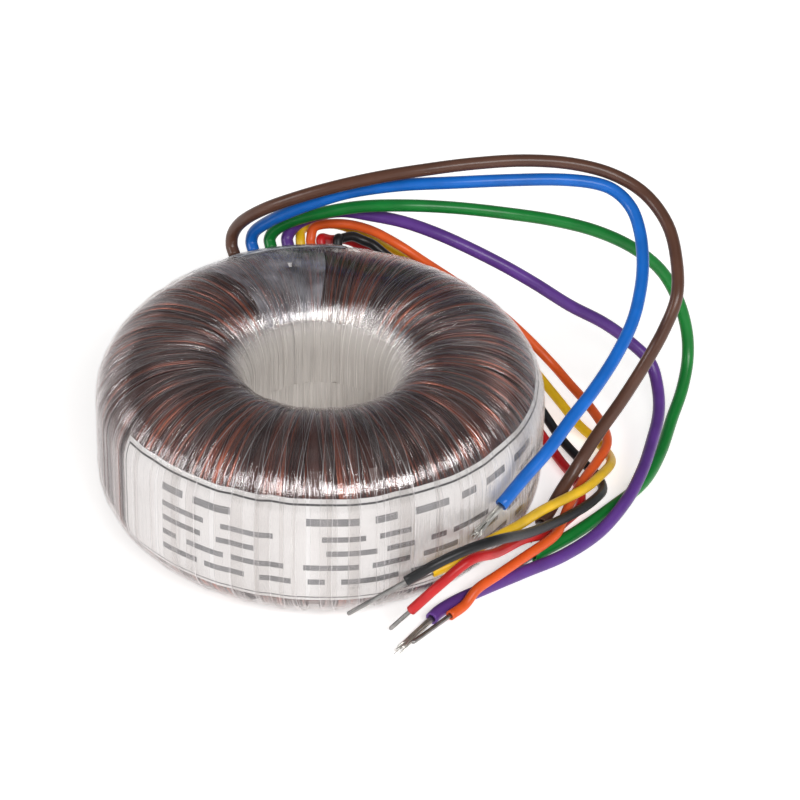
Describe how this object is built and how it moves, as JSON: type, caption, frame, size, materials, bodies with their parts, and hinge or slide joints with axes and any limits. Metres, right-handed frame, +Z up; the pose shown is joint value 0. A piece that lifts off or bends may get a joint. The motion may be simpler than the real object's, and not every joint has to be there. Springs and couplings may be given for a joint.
{
  "type": "toroidal transformer",
  "caption": "Ring-shaped mains transformer wound with enamelled wire, wrapped in clear film, with a printed band and flying leads with stripped ends.",
  "frame": {"origin": "centre of the base, on the axis of the ring", "axes": "+Z up along the axis of the ring, -Y towards the middle of the rating label's front, leads leave the shoulder at +Y"},
  "size_m": [0.1091, 0.0899, 0.0551],
  "materials": {
    "core_steel": "edge of wound strip",
    "core_tape": "matt crepe tape",
    "enamelled_wire": "enamelled copper wire, dark red-brown gloss",
    "barrier_film": "polyester film",
    "label_paper": "printed strip, satin",
    "clear_film": "thin clear polyester film, glossy and pleated",
    "anchor_tape": "folded polyester tape",
    "pvc_brown": "PVC, glossy",
    "pvc_blue": "PVC, glossy",
    "pvc_green": "PVC, glossy",
    "pvc_violet": "PVC, glossy",
    "pvc_orange": "PVC sleeve, satin",
    "pvc_yellow": "PVC sleeve, satin",
    "pvc_red": "PVC sleeve, satin",
    "pvc_black": "PVC sleeve, satin",
    "tinned_copper": "tinned copper strands, bright",
    "tinned_wire": "tinned copper wire, dull"
  },
  "bodies": {
    "root": {"core": "core_steel", "core_insulation": "core_tape", "primary_winding_1": "enamelled_wire", "primary_winding_2": "enamelled_wire", "winding_barrier": "barrier_film", "secondary_winding_1": "enamelled_wire", "secondary_winding_2": "enamelled_wire", "rating_label": "label_paper", "film_wrap": "clear_film", "lead_anchor_pad": "anchor_tape", "lead_brown": "pvc_brown", "lead_blue": "pvc_blue", "lead_green": "pvc_green", "lead_violet": "pvc_violet", "sleeve_orange": "pvc_orange", "sleeve_yellow": "pvc_yellow", "sleeve_red": "pvc_red", "sleeve_black": "pvc_black", "strands_brown": "tinned_copper", "strands_blue": "tinned_copper", "strands_green": "tinned_copper", "strands_violet": "tinned_copper", "wire_orange": "tinned_wire", "wire_yellow": "tinned_wire", "wire_red": "tinned_wire", "wire_black": "tinned_wire"}
  },
  "joints": []
}
